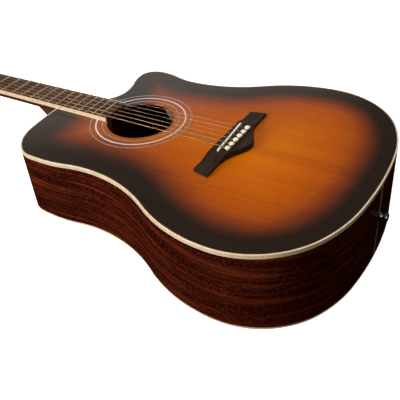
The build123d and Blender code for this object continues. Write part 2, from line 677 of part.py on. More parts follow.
def head_plan():
    """Draw the headstock's outline: concave shoulders, straight sides and a low crown."""
    root = board_half(NUT_X - NUT_THICK)
    with BuildSketch() as shape:
        with BuildLine():
            for hand in (-1, 1):
                Spline(
                    (0, hand * root),
                    (-HEAD_SHOULDER, hand * HEAD_ROOT_HALF),
                    tangents=[(-1, 0), (-1, 0)],
                )
                Line(
                    (-HEAD_SHOULDER, hand * HEAD_ROOT_HALF),
                    (HEAD_CROWN - HEAD_LENGTH, hand * HEAD_TIP_HALF),
                )
            ThreePointArc(
                (HEAD_CROWN - HEAD_LENGTH, -HEAD_TIP_HALF),
                (-HEAD_LENGTH, 0),
                (HEAD_CROWN - HEAD_LENGTH, HEAD_TIP_HALF),
            )
            Line((0, -root), (0, root))
        make_face()
    return shape.sketch


HEAD_PLAN = head_plan()
POSTS = [(x, hand * POST_Y) for hand in (1, -1) for x in POST_X]
STRING_POSTS = {1: POSTS[0], 2: POSTS[1], 3: POSTS[2], 4: POSTS[5], 5: POSTS[4], 6: POSTS[3]}
HEAD_BACK = HEAD.offset(-HEAD_THICK)


def machine_plane(post):
    """The back of the headstock at a post: local Y points outwards, local Z backwards."""
    x, y = post
    outward = math.copysign(1, y)
    origin = HEAD_BACK.from_local_coords((x, y, 0))
    return Plane(origin=origin, x_dir=HEAD.x_dir * -outward, z_dir=HEAD.z_dir * -1)


def post_holes(radius, plane, depth):
    """Bore a hole at each of the six posts, down from a plane."""
    with BuildSketch(plane) as holes:
        with Locations(*POSTS):
            Circle(radius)
    extrude(holes.sketch, amount=-depth, mode=Mode.SUBTRACT)


GEAR_LEVEL = HOUSING_DROP / 2
WORM_OFFSET = GEAR_RADIUS + WORM_RADIUS + BODY_CLEARANCE
HOUSING_NEAR = GEAR_RADIUS + POCKET_CLEARANCE + HOUSING_WALL
HOUSING_FAR = WORM_OFFSET + WORM_RADIUS + POCKET_CLEARANCE + HOUSING_WALL
SCREW_X = -(HOUSING_NEAR + EAR_LENGTH / 2)


def worm_side(post):
    """The sign of local X on which a machine's worm lies, so that it is nut-side of its post."""
    return -math.copysign(1, post[1])


def screw_hole_places():
    """Places of the machines' fixing screws in the headstock's frame."""
    return [(x + SCREW_X, y) for x, y in POSTS]


with BuildPart() as neck:
    loft(
        [
            neck_section(across(TOP, NUT_X - NUT_THICK), board_half(NUT_X), NECK_DEPTH_AT_NUT),
            neck_section(across(TOP, JOINT_X), board_half(JOINT_X), NECK_DEPTH_AT_HEEL),
        ]
    )
    heel = list(zip(HEEL_DEPTH_SHARES, HEEL_LENGTHS, HEEL_WIDTH_SHARES))
    loft([heel_section(*level) for level in heel])
    with BuildSketch(across(TOP, JOINT_X)):
        with Locations((0, -BINDING_HEIGHT - TENON_CLEARANCE)):
            tenon_height = TENON_DEPTH - BINDING_HEIGHT - 2 * TENON_CLEARANCE
            tenon_width = TENON_WIDTH - 2 * TENON_CLEARANCE
            Rectangle(tenon_width, tenon_height, align=(Align.CENTER, Align.MAX))
    extrude(amount=TENON_LENGTH - TENON_CLEARANCE)
    with BuildSketch(HEAD):
        add(HEAD_PLAN)
    extrude(amount=-HEAD_THICK)
    blend_half = board_half(NUT_X) - HEAD_BLEND_INSET
    blend_depth = HEAD_THICK + HEAD_BLEND_DROP
    loft(
        [
            neck_section(across(TOP, NUT_X - NUT_THICK), board_half(NUT_X), NECK_DEPTH_AT_NUT),
            neck_section(across(HEAD, -HEAD_BLEND), blend_half, blend_depth),
        ]
    )
    post_holes(BUSHING_RADIUS, HEAD, BUSHING_DEPTH)
    post_holes(POST_RADIUS + 2 * BODY_CLEARANCE, HEAD, HEAD_THICK + 1)
    with BuildSketch(HEAD_BACK):
        with Locations(*screw_hole_places()):
            Circle(SCREW_RADIUS)
    extrude(amount=SCREW_LENGTH, mode=Mode.SUBTRACT)
    with BuildSketch(across(TOP, NUT_X + ROD_FROM_NUT)):
        with Locations((0, -ROD_AXIS_DEPTH)):
            channel = (ROD_WIDTH + 2 * ROD_CLEARANCE, ROD_HEIGHT + 2 * ROD_CLEARANCE)
            Rectangle(*channel)
    extrude(amount=JOINT_X - NUT_X - ROD_FROM_NUT - ROD_NUT_LENGTH, mode=Mode.SUBTRACT)
    with BuildSketch(across(TOP, JOINT_X - ROD_NUT_LENGTH - ROD_CLEARANCE)):
        with Locations((0, -ROD_AXIS_DEPTH)):
            Circle(ROD_NUT_RADIUS + ROD_CLEARANCE)
    extrude(amount=ROD_NUT_LENGTH + TENON_LENGTH + 1, mode=Mode.SUBTRACT)
finish(neck, "neck")

with BuildPart() as truss_rod:
    with BuildSketch(across(TOP, NUT_X + ROD_FROM_NUT + ROD_CLEARANCE)):
        with Locations((0, -ROD_AXIS_DEPTH)):
            Rectangle(ROD_WIDTH, ROD_HEIGHT)
    rod_length = JOINT_X - NUT_X - ROD_FROM_NUT - ROD_NUT_LENGTH - 2 * ROD_CLEARANCE
    extrude(amount=rod_length)
    with BuildSketch(across(TOP, JOINT_X - ROD_NUT_LENGTH - ROD_CLEARANCE)):
        with Locations((0, -ROD_AXIS_DEPTH)):
            Circle(ROD_NUT_RADIUS)
            RegularPolygon(ROD_NUT_RADIUS / 2, 6, mode=Mode.SUBTRACT)
    extrude(amount=ROD_NUT_LENGTH)
finish(truss_rod, "truss_rod")

with BuildPart() as headstock_overlay:
    with BuildSketch(HEAD):
        add(HEAD_PLAN)
    extrude(amount=OVERLAY_THICK)
    post_holes(BUSHING_RADIUS, HEAD.offset(OVERLAY_THICK), OVERLAY_THICK)
    with BuildSketch(across(TOP, NUT_X - NUT_THICK)):
        Rectangle(2 * NUT_WIDTH, 4 * NUT_THICK)
    extrude(amount=NUT_THICK, mode=Mode.SUBTRACT)
finish(headstock_overlay, "headstock_overlay")

# ---------------------------------------------------------------- fingerboard, frets and nut
def board_plan(inset, start=NUT_X, end=BOARD_END_X, mode=Mode.ADD):
    """Draw the tapered fingerboard between two stations, narrowed on each side."""
    first, last = board_half(start) - inset, board_half(end) - inset
    Polygon((start, -first), (end, -last), (end, last), (start, first), align=None, mode=mode)


def marker_x(number):
    """Middle of the space behind a fret."""
    return (fret_x(number - 1) + fret_x(number)) / 2


BOARD_TOP = TOP.offset(BOARD_THICK)
FACE_DOTS = [(marker_x(number), 0) for number in MARKER_FRETS if number != DOUBLE_MARKER_FRET]
FACE_DOTS += [(marker_x(DOUBLE_MARKER_FRET), hand * DOUBLE_FACE_DOT_Y) for hand in (-1, 1)]
SIDE_DOTS = [marker_x(number) for number in MARKER_FRETS if number != DOUBLE_MARKER_FRET]
SIDE_DOTS += [
    marker_x(DOUBLE_MARKER_FRET) + hand * DOUBLE_SIDE_DOT_PITCH / 2 for hand in (-1, 1)
]

with BuildPart() as fret_tangs:
    for number in range(1, FRET_COUNT + 1):
        x = fret_x(number)
        with BuildSketch(BOARD_TOP):
            start, end = x - FRET_TANG_WIDTH / 2, x + FRET_TANG_WIDTH / 2
            board_plan(BOARD_BINDING, start, end)
        extrude(amount=-FRET_TANG_DEPTH)

with BuildPart() as face_dots:
    with BuildSketch(BOARD_TOP):
        with Locations(*FACE_DOTS):
            Circle(FACE_DOT_RADIUS)
    extrude(amount=-DOT_DEPTH)
finish(face_dots, "face_dots")

with BuildPart() as fingerboard:
    with BuildSketch(TOP):
        board_plan(BOARD_BINDING)
    extrude(amount=BOARD_THICK)
    add(fret_tangs.part, mode=Mode.SUBTRACT)
    add(face_dots.part, mode=Mode.SUBTRACT)
finish(fingerboard, "fingerboard")

with BuildPart() as binding_blank:
    with BuildSketch(TOP):
        board_plan(0)
        board_plan(BOARD_BINDING, NUT_X - 1, BOARD_END_X + 1, Mode.SUBTRACT)
    extrude(amount=BOARD_THICK)

with BuildPart() as side_dots:
    for x in SIDE_DOTS:
        start = TOP.from_local_coords((x, -board_half(x) - 1, BOARD_THICK / 2))
        with BuildSketch(Plane(origin=start, x_dir=TOP.x_dir, z_dir=(0, 1, 0))):
            Circle(SIDE_DOT_RADIUS)
        extrude(amount=1 + DOT_DEPTH)
    add(binding_blank.part, mode=Mode.INTERSECT)
finish(side_dots, "side_dots")

with BuildPart() as fingerboard_binding:
    add(binding_blank.part)
    add(side_dots.part, mode=Mode.SUBTRACT)
finish(fingerboard_binding, "fingerboard_binding")

with BuildPart() as frets:
    add(fret_tangs.part)
    for number in range(1, FRET_COUNT + 1):
        x = fret_x(number)
        half = board_half(x - FRET_CROWN_WIDTH / 2)
        with BuildSketch(along(TOP, -half)):
            with BuildLine():
                ends = [(x + hand * FRET_CROWN_WIDTH / 2, BOARD_THICK) for hand in (-1, 1)]
                ThreePointArc(ends[0], (x, BOARD_THICK + FRET_CROWN_HEIGHT), ends[1])
                Line(ends[1], ends[0])
            make_face()
        extrude(amount=-2 * half)
finish(frets, "frets")

# ---------------------------------------------------------------- strings
NUT_BEND_X = NUT_X - NUT_THICK
SADDLE_SLOPE = (SADDLE_BASS_X - SADDLE_TREBLE_X) / (5 * PIN_SPACING)


def string_route(number):
    """Corner points of a string, from its ball under the bridge to its winding."""
    radius = STRING_DIAMETERS[number - 1] / 2
    drop_x = PIN_X - PIN_SHANK_RADIUS - PIN_HOLE_CLEARANCE - radius - STRING_SLOT_CLEARANCE / 2
    saddle_x = (SADDLE_BASS_X + SADDLE_TREBLE_X) / 2
    saddle_x -= SADDLE_SLOPE * string_y(number, saddle_x)
    nut_height = BOARD_THICK + STRING_OVER_NUT + radius
    saddle_height = STRING_OVER_SADDLE + radius + SADDLE_LIFT
    head_height = PIN_HEAD_Z - radius - STRING_SLOT_CLEARANCE
    flat = [
        (drop_x, -SOUNDBOARD_THICK - PLATE_THICK - BALL_RADIUS),
        (drop_x, head_height),
        (saddle_x, saddle_height),
        (NUT_BEND_X, nut_height),
    ]
    points = [TOP.from_local_coords((x, string_y(number, x), z)) for x, z in flat]
    post_x, post_y = STRING_POSTS[number]
    inward = POST_Y - POST_WAIST_RADIUS - 3 * radius - BODY_CLEARANCE - RUNNING_CLEARANCE
    winding_height = OVERLAY_THICK + WINDING_BASE
    end = HEAD.from_local_coords((post_x, math.copysign(inward, post_y), winding_height))
    return points + [end], radius


def nut_slot(number):
    """Cut the slot of a string into the nut, open upwards."""
    half = STRING_DIAMETERS[number - 1] / 2 + NUT_SLOT_CLEARANCE
    floor = BOARD_THICK + STRING_OVER_NUT - NUT_SLOT_CLEARANCE
    with BuildSketch(TOP.offset(floor)) as slot:
        with Locations((NUT_X - NUT_THICK / 2, string_y(number, NUT_X - NUT_THICK / 2))):
            Rectangle(2 * NUT_THICK, 2 * half)
    extrude(slot.sketch, amount=NUT_THICK, mode=Mode.SUBTRACT)


with BuildPart() as nut:
    with BuildSketch(TOP):
        with Locations((NUT_X - NUT_THICK / 2, 0)):
            Rectangle(NUT_THICK, 2 * board_half(NUT_X))
    extrude(amount=BOARD_THICK + STRING_OVER_NUT + NUT_ABOVE_SLOT)
    top_face = nut.faces().sort_by(Axis(TOP.origin, TOP.z_dir))[-1]
    fillet(top_face.edges(), radius=NUT_ABOVE_SLOT)
    for number in range(1, 7):
        nut_slot(number)
finish(nut, "nut")

for number in range(1, 7):
    points, radius = string_route(number)
    with BuildPart() as string:
        with BuildLine() as route:
            FilletPolyline(*points, radius=STRING_BEND_RADIUS)
        path = route.wires()[0]
        with BuildSketch(Plane(origin=path @ 0, z_dir=path % 0)):
            Circle(radius)
        sweep(path=path)
        ball_x = PIN_X - PIN_SHANK_RADIUS - BALL_RADIUS - PIN_HOLE_CLEARANCE
        ball_z = -SOUNDBOARD_THICK - PLATE_THICK - BALL_RADIUS - RUNNING_CLEARANCE
        ball_place = TOP.from_local_coords((ball_x, string_y(number, PIN_X), ball_z))
        with Locations(ball_place):
            Sphere(BALL_RADIUS + BALL_SEAT_GAP, mode=Mode.SUBTRACT)
            Sphere(BALL_RADIUS)
    finish(string, f"string_{number}")

    post_x, post_y = STRING_POSTS[number]
    wound_radius = POST_WAIST_RADIUS + radius + RUNNING_CLEARANCE / 2
    pitch = 2 * radius + RUNNING_CLEARANCE
    with BuildPart() as winding:
        for turn in range(WINDING_TURNS):
            level = OVERLAY_THICK + WINDING_BASE - turn * pitch
            place = HEAD.from_local_coords((post_x, post_y, level))
            with Locations(Plane(origin=place, x_dir=HEAD.x_dir, z_dir=HEAD.z_dir)):
                Torus(wound_radius, radius)
    finish(winding, f"string_{number}_winding")

# ---------------------------------------------------------------- tuning machines
with BuildPart() as tuner_bushings:
    for post in POSTS:
        with BuildSketch(HEAD.offset(OVERLAY_THICK)):
            with Locations(post):
                RegularPolygon(BUSHING_FLANGE, 6)
                Circle(POST_RADIUS + RUNNING_CLEARANCE, mode=Mode.SUBTRACT)
        extrude(amount=BUSHING_FLANGE_THICK)
        with BuildSketch(HEAD.offset(OVERLAY_THICK)):
            with Locations(post):
                Circle(BUSHING_RADIUS)
                Circle(POST_RADIUS + RUNNING_CLEARANCE, mode=Mode.SUBTRACT)
        extrude(amount=-(OVERLAY_THICK + BUSHING_DEPTH))
finish(tuner_bushings, "tuner_bushings")


def machine_housing(post):
    """The cast cover of one machine, bored for its post, gear, worm and knob shaft."""
    back_plane = machine_plane(post)
    sign = worm_side(post)
    near, far = sorted((-sign * HOUSING_NEAR, sign * HOUSING_FAR))
    with BuildPart() as housing:
        with BuildSketch(back_plane):
            with Locations(((near + far) / 2, (HOUSING_OUT - HOUSING_NEAR) / 2)):
                Rectangle(far - near, HOUSING_OUT + HOUSING_NEAR)
        extrude(amount=HOUSING_DROP)
        fillet(housing.edges().filter_by(Axis(HEAD.origin, HEAD.z_dir)), radius=HOUSING_ROUND)
        outer = housing.faces().sort_by(Axis(HEAD.origin, HEAD.z_dir))[0]
        fillet(outer.edges(), radius=HOUSING_ROUND / 2)
        with BuildSketch(back_plane):
            with Locations((-sign * (HOUSING_NEAR + EAR_LENGTH / 2 - 1), 0)):
                SlotOverall(EAR_LENGTH + 2, EAR_LENGTH)
            with Locations((-sign * (HOUSING_NEAR + EAR_LENGTH / 2), 0)):
                Circle(SCREW_RADIUS, mode=Mode.SUBTRACT)
        extrude(amount=EAR_THICK)
        with BuildSketch(back_plane):
            Circle(POST_RADIUS + RUNNING_CLEARANCE)
        extrude(amount=GEAR_LEVEL, mode=Mode.SUBTRACT)
        with BuildSketch(back_plane.offset(GEAR_LEVEL - GEAR_THICK / 2 - POCKET_CLEARANCE)):
            Circle(GEAR_RADIUS + POCKET_CLEARANCE)
        extrude(amount=GEAR_THICK + 2 * POCKET_CLEARANCE, mode=Mode.SUBTRACT)
        with BuildSketch(back_plane.offset(GEAR_LEVEL)):
            Circle(PIVOT_RADIUS + RUNNING_CLEARANCE)
        pivot_depth = GEAR_THICK / 2 + POCKET_CLEARANCE + PIVOT_LENGTH + RUNNING_CLEARANCE
        extrude(amount=pivot_depth, mode=Mode.SUBTRACT)
        worm_axis = Plane(
            origin=back_plane.from_local_coords((sign * WORM_OFFSET, 0, GEAR_LEVEL)),
            x_dir=back_plane.x_dir,
            z_dir=back_plane.y_dir,
        )
        pocket_half = WORM_LENGTH / 2 + POCKET_CLEARANCE
        with BuildSketch(worm_axis.offset(-pocket_half)):
            Circle(WORM_RADIUS + POCKET_CLEARANCE)
        extrude(amount=2 * pocket_half, mode=Mode.SUBTRACT)
        with BuildSketch(worm_axis.offset(-pocket_half - PIVOT_LENGTH - RUNNING_CLEARANCE)):
            Circle(KNOB_SHAFT_RADIUS + RUNNING_CLEARANCE)
        extrude(amount=2 * HOUSING_OUT, mode=Mode.SUBTRACT)
    return housing.part


HOUSINGS = [machine_housing(post) for post in POSTS]

with BuildPart() as tuner_housings:
    add(HOUSINGS)
finish(tuner_housings, "tuner_housings")

with BuildPart() as tuner_screws:
    for post in POSTS:
        sign = worm_side(post)
        place = (-sign * (HOUSING_NEAR + EAR_LENGTH / 2), 0)
        with BuildSketch(machine_plane(post).offset(EAR_THICK)):
            with Locations(place):
                Circle(SCREW_RADIUS)
        extrude(amount=-SCREW_LENGTH)
        with BuildSketch(machine_plane(post).offset(EAR_THICK)):
            with Locations(place):
                Circle(SCREW_HEAD_RADIUS)
                Rectangle(3 * SCREW_HEAD_RADIUS, SCREW_RADIUS / 2, mode=Mode.SUBTRACT)
        extrude(amount=SCREW_HEAD_THICK)
        with BuildSketch(machine_plane(post).offset(EAR_THICK)):
            with Locations(place):
                Circle(SCREW_HEAD_RADIUS)
        extrude(amount=SCREW_HEAD_THICK / 2)
finish(tuner_screws, "tuner_screws")

for number in range(1, 7):
    post = STRING_POSTS[number]
    back_plane = machine_plane(post)
    sign = worm_side(post)
    post_foot = GEAR_LEVEL + GEAR_THICK / 2
    with BuildPart() as tuner_post:
        with BuildSketch(back_plane.offset(post_foot)):
            Circle(PIVOT_RADIUS)
        extrude(amount=POCKET_CLEARANCE + PIVOT_LENGTH)
        with BuildSketch(back_plane.offset(post_foot)):
            Circle(POST_RADIUS)
        extrude(amount=-(post_foot + HEAD_THICK + OVERLAY_THICK + POST_ABOVE))
        crest = tuner_post.faces().sort_by(Axis(HEAD.origin, HEAD.z_dir))[-1]
        fillet(crest.edges(), radius=POST_RADIUS / 4)
        waist_height = 2 * WINDING_BASE - 2 * BUSHING_FLANGE_THICK
        with BuildSketch(HEAD.offset(OVERLAY_THICK + 2 * BUSHING_FLANGE_THICK)):
            with Locations(post):
                Circle(POST_RADIUS + 1)
                Circle(POST_WAIST_RADIUS, mode=Mode.SUBTRACT)
        extrude(amount=waist_height, mode=Mode.SUBTRACT)
        with BuildSketch(across(HEAD, post[0] - 2 * POST_RADIUS)):
            with Locations((post[1], OVERLAY_THICK + 2 * BUSHING_FLANGE_THICK + waist_height + 1)):
                Circle(POST_RADIUS / 4)
        extrude(amount=4 * POST_RADIUS, mode=Mode.SUBTRACT)
        with BuildSketch(back_plane.offset(GEAR_LEVEL - GEAR_THICK / 2)):
            Circle(GEAR_RADIUS)
            with PolarLocations(GEAR_RADIUS, GEAR_TEETH):
                Circle(GEAR_TOOTH_DEPTH / 2, mode=Mode.SUBTRACT)
        extrude(amount=GEAR_THICK)
    finish(tuner_post, f"tuner_post_{number}")

    worm_axis = Plane(
        origin=back_plane.from_local_coords((sign * WORM_OFFSET, 0, GEAR_LEVEL)),
        x_dir=back_plane.x_dir,
        z_dir=back_plane.y_dir,
    )
    knob_start = HEAD_ROOT_HALF - POST_Y + KNOB_GAP
    button_middle = worm_axis.from_local_coords((0, 0, knob_start + KNOB_LENGTH / 2))
    with BuildPart() as tuner_knob:
        flat_plane = Plane(origin=button_middle, x_dir=worm_axis.x_dir, z_dir=worm_axis.y_dir)
        with BuildSketch(flat_plane.offset(-KNOB_THICK / 2)):
            Ellipse(KNOB_WIDTH / 2, KNOB_LENGTH / 2)
        extrude(amount=KNOB_THICK)
        fillet(tuner_knob.edges().filter_by(GeomType.ELLIPSE), radius=KNOB_THICK / 3)
        shaft_start = WORM_LENGTH / 2 + POCKET_CLEARANCE + PIVOT_LENGTH
        with BuildSketch(worm_axis.offset(-shaft_start)):
            Circle(KNOB_SHAFT_RADIUS)
        extrude(amount=shaft_start + knob_start + KNOB_LENGTH / 2)
        with BuildSketch(worm_axis.offset(-WORM_LENGTH / 2)):
            Circle(WORM_RADIUS)
        extrude(amount=WORM_LENGTH)
        for groove in range(int(WORM_LENGTH / WORM_PITCH)):
            start = -WORM_LENGTH / 2 + (groove + 0.5) * WORM_PITCH
            with BuildSketch(worm_axis.offset(start)):
                Circle(WORM_RADIUS + 1)
                Circle(WORM_RADIUS - WORM_GROOVE, mode=Mode.SUBTRACT)
            extrude(amount=WORM_PITCH / 2, mode=Mode.SUBTRACT)
        with BuildSketch(worm_axis.offset(knob_start)):
            Circle(KNOB_SHAFT_RADIUS + KNOB_COLLAR)
        extrude(amount=KNOB_LENGTH / 3)
    finish(tuner_knob, f"tuner_knob_{number}")

# ---------------------------------------------------------------- strap button
BUTTON_AXIS = Axis(BUTTON.origin, BUTTON.z_dir)
COUNTERSINK_DEPTH = BUTTON_SCREW_HEAD_RADIUS - BUTTON_SCREW_RADIUS
with BuildPart() as strap_button:
    with BuildSketch(Plane(origin=BUTTON.origin, x_dir=(0, 1, 0), z_dir=TOP.z_dir)):
        with BuildLine():
            rim = BUTTON_LENGTH - BUTTON_HEAD_LENGTH / 2
            dome_drop = BUTTON_DOME_DROP_SHARE
            Polyline(
                (BUTTON_SCREW_RADIUS + RUNNING_CLEARANCE, 0),
                (BUTTON_BASE_RADIUS, 0),
                (BUTTON_BASE_RADIUS, -BUTTON_HEAD_LENGTH / 2),
            )
            Spline(
                (BUTTON_BASE_RADIUS, -BUTTON_HEAD_LENGTH / 2),
                (BUTTON_WAIST_RADIUS, -BUTTON_LENGTH / 2),
                (BUTTON_HEAD_RADIUS, BUTTON_BAND - rim),
            )
            Line((BUTTON_HEAD_RADIUS, BUTTON_BAND - rim), (BUTTON_HEAD_RADIUS, -rim))
            ThreePointArc(
                (BUTTON_HEAD_RADIUS, -rim),
                (BUTTON_HEAD_RADIUS * BUTTON_DOME_SHARE, BUTTON_HEAD_LENGTH * dome_drop - BUTTON_LENGTH),
                (BUTTON_SCREW_HEAD_RADIUS + RUNNING_CLEARANCE, -BUTTON_LENGTH),
            )
            recess = BUTTON_LENGTH - COUNTERSINK_DEPTH
            Polyline(
                (BUTTON_SCREW_HEAD_RADIUS + RUNNING_CLEARANCE, -BUTTON_LENGTH),
                (BUTTON_SCREW_RADIUS + RUNNING_CLEARANCE, -recess),
                (BUTTON_SCREW_RADIUS + RUNNING_CLEARANCE, 0),
            )
        make_face()
    revolve(axis=BUTTON_AXIS)
finish(strap_button, "strap_button")

with BuildPart() as strap_button_screw:
    with BuildSketch(BUTTON.offset(BUTTON_LENGTH)):
        Circle(BUTTON_SCREW_HEAD_RADIUS)
    with BuildSketch(BUTTON.offset(BUTTON_LENGTH - COUNTERSINK_DEPTH)):
        Circle(BUTTON_SCREW_RADIUS)
    loft()
    with BuildSketch(BUTTON.offset(BUTTON_LENGTH - COUNTERSINK_DEPTH)):
        Circle(BUTTON_SCREW_RADIUS)
    extrude(amount=-(BUTTON_LENGTH - COUNTERSINK_DEPTH + TAIL_BLOCK_LENGTH))
    with BuildSketch(BUTTON.offset(BUTTON_LENGTH)):
        Rectangle(CROSS_SLOT_SHARE * BUTTON_SCREW_RADIUS, BUTTON_SCREW_RADIUS / 2)
        Rectangle(BUTTON_SCREW_RADIUS / 2, CROSS_SLOT_SHARE * BUTTON_SCREW_RADIUS)
    extrude(amount=-BUTTON_SCREW_RADIUS / 2, mode=Mode.SUBTRACT)
finish(strap_button_screw, "strap_button_screw")
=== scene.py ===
import math

import bmesh
import bpy
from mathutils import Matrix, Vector
from mathutils.bvhtree import BVHTree


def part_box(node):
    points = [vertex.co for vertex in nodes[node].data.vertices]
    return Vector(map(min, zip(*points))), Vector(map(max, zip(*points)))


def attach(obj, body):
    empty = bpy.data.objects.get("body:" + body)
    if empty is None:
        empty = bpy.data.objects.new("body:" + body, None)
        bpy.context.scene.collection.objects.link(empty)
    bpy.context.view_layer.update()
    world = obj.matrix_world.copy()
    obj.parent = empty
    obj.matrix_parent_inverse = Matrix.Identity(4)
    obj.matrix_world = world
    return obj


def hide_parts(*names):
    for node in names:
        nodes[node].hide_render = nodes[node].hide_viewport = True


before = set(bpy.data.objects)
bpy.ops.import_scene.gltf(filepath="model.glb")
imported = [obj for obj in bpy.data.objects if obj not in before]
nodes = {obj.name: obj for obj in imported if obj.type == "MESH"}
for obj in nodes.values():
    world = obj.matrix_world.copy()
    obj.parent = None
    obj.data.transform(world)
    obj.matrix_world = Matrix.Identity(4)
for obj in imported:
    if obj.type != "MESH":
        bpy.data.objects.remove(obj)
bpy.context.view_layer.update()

MM = 0.001
BINDING = 2.2 * MM          # width of the top binding
CUT_CELL = 5 * MM           # spacing of the cuts that carry the sunburst
BINDING_EASE = 0.6 * MM
SMALL_EASE = 0.35 * MM
WELD = 1e-6
FLOOR_SIZE = 60
FLOOR_GAP = 0.3 * MM
FLOOR_GLOW = 0.78
SKY_STRENGTH = 0.05
BACKDROP_GREY = 0.80
BURST_SPAN = 5.0            # how fast the burst runs inward from the rim


# ------------------------------------------------------------------ node helpers
class Finish:
    """A node material round one Principled shader."""

    def __init__(
            self, name, roughness, metallic=0.0, coat=0.0, coat_roughness=0.1, shine=0.5):
        self.mat = bpy.data.materials.new(name)
        self.mat.use_nodes = True
        self.tree = self.mat.node_tree
        self.tree.nodes.clear()
        self.bsdf = self.add("ShaderNodeBsdfPrincipled")
        output = self.add("ShaderNodeOutputMaterial")
        self.join(self.bsdf.outputs["BSDF"], output.inputs["Surface"])
        self.bsdf.inputs["Roughness"].default_value = roughness
        self.bsdf.inputs["Metallic"].default_value = metallic
        self.bsdf.inputs["Coat Weight"].default_value = coat
        self.bsdf.inputs["Coat Roughness"].default_value = coat_roughness
        self.bsdf.inputs["Specular IOR Level"].default_value = shine
        self.coord = self.add("ShaderNodeTexCoord").outputs["Object"]

    def add(self, kind):
        return self.tree.nodes.new(kind)

    def join(self, source, socket):
        self.tree.links.new(source, socket)

    def put(self, value, socket):
        """Link an output, or set a plain value."""
        if isinstance(value, bpy.types.NodeSocket):
            self.join(value, socket)
        else:
            socket.default_value = value

    def math(self, operation, first, second=0.0):
        node = self.add("ShaderNodeMath")
        node.operation = operation
        self.put(first, node.inputs[0])
        self.put(second, node.inputs[1])
        return node.outputs[0]

    def stretched(self, scale, coord=None):
        """Coordinates scaled per axis, in features per metre."""
        node = self.add("ShaderNodeMapping")
        self.join(coord or self.coord, node.inputs["Vector"])
        node.inputs["Scale"].default_value = scale
        return node.outputs["Vector"]

    def noise(self, scale, detail=3.0, roughness=0.55, warp=0.0, coord=None):
        node = self.add("ShaderNodeTexNoise")
        self.join(self.stretched(scale, coord), node.inputs["Vector"])
        node.inputs["Scale"].default_value = 1.0
        node.inputs["Detail"].default_value = detail
        node.inputs["Roughness"].default_value = roughness
        node.inputs["Distortion"].default_value = warp
        return node.outputs["Fac"]

    def ramp(self, factor, stops):
        """A colour ramp; a stop is (place, (r, g, b)) or (place, grey)."""
        node = self.add("ShaderNodeValToRGB")
        self.join(factor, node.inputs["Fac"])
        elements = node.color_ramp.elements
        while len(elements) < len(stops):
            elements.new(0.5)
        for element, (place, colour) in zip(elements, stops):
            if not isinstance(colour, tuple):
                colour = (colour, colour, colour)
            element.position = place
            element.color = (*colour, 1)
        return node.outputs["Color"]

    def mix(self, factor, first, second, blend="MIX"):
        node = self.add("ShaderNodeMix")
        node.data_type = "RGBA"
        node.blend_type = blend
        self.put(factor, node.inputs["Factor"])
        for value, socket in ((first, node.inputs[6]), (second, node.inputs[7])):
            if isinstance(value, tuple):
                value = (*value, 1)
            self.put(value, socket)
        return node.outputs[2]

    def spread(self, factor, low, high):
        """Map 0..1 to low..high."""
        node = self.add("ShaderNodeMapRange")
        self.join(factor, node.inputs["Value"])
        node.inputs["To Min"].default_value = low
        node.inputs["To Max"].default_value = high
        return node.outputs["Result"]

    def colour(self, value):
        self.put(value, self.bsdf.inputs["Base Color"])

    def rough(self, factor, low, high):
        self.join(self.spread(factor, low, high), self.bsdf.inputs["Roughness"])

    def bump(self, height, depth, strength=1.0):
        node = self.add("ShaderNodeBump")
        self.join(height, node.inputs["Height"])
        node.inputs["Distance"].default_value = depth
        node.inputs["Strength"].default_value = strength
        self.join(node.outputs["Normal"], self.bsdf.inputs["Normal"])


# ------------------------------------------------------------------ woods
def mirrored(look):
    """Coordinates folded at the centre seam, for bookmatched halves."""
    split = look.add("ShaderNodeSeparateXYZ")
    look.join(look.coord, split.inputs[0])
    folded = look.add("ShaderNodeCombineXYZ")
    look.join(split.outputs["X"], folded.inputs["X"])
    look.join(look.math("ABSOLUTE", split.outputs["Y"]), folded.inputs["Y"])
    look.join(split.outputs["Z"], folded.inputs["Z"])
    return folded.outputs[0]


def spruce_top():
    """Straight bookmatched spruce under a sunburst and a gloss coat."""
    look = Finish("spruce_sunburst", 0.5, coat=0.55, coat_roughness=0.16, shine=0.04)
    folded = mirrored(look)
    lines = look.noise((2.2, 520, 2.2), detail=2.0, roughness=0.5, coord=folded)
    broad = look.noise((1.6, 46, 1.6), detail=3.0, coord=folded)
    silk_sheen_noise = look.noise((260, 60, 60), detail=2.0, coord=folded)
    depth = look.add("ShaderNodeAttribute")
    depth.attribute_name = "edge_depth"
    split = look.add("ShaderNodeSeparateXYZ")
    look.join(look.coord, split.inputs[0])
    lean = look.math("MULTIPLY", split.outputs["X"], 0.8)
    lean = look.math("ADD", lean, look.math("MULTIPLY", split.outputs["Y"], 0.5))
    place = look.math("MULTIPLY", depth.outputs["Fac"], look.math("ADD", lean, 0.72))
    place = look.math("MULTIPLY", place, BURST_SPAN)
    cloud = look.noise((14, 14, 14), detail=2.0)
    place = look.math("ADD", place, look.spread(cloud, -0.02, 0.02))
    burst = look.ramp(
        place,
        [
            (0.000, (0.015, 0.0090, 0.0055)),
            (0.105, (0.016, 0.0090, 0.0055)),
            (0.140, (0.042, 0.0130, 0.0060)),
            (0.205, (0.150, 0.0270, 0.0060)),
            (0.285, (0.300, 0.0550, 0.0020)),
            (0.400, (0.390, 0.0730, 0.0005)),
            (0.650, (0.455, 0.1040, 0.0005)),
        ],
    )
    grain = look.ramp(lines, [(0.36, 0.72), (0.52, 1.0), (0.70, 1.06)])
    burst = look.mix(0.55, burst, grain, "MULTIPLY")
    tone = look.ramp(broad, [(0.30, 0.84), (0.65, 1.08)])
    burst = look.mix(0.8, burst, tone, "MULTIPLY")
    # Painted sheen: the spruce's fine cross-grain silk, drawn as flecks a little lighter and
    # darker; the silk is the wood's own, its shimmer is painted.
    shimmer = look.ramp(silk_sheen_noise, [(0.35, 0.92), (0.70, 1.06)])
    look.colour(look.mix(0.6, burst, shimmer, "MULTIPLY"))
    look.rough(broad, 0.44, 0.56)
    look.bump(lines, 0.00004, 0.5)
    return look.mat


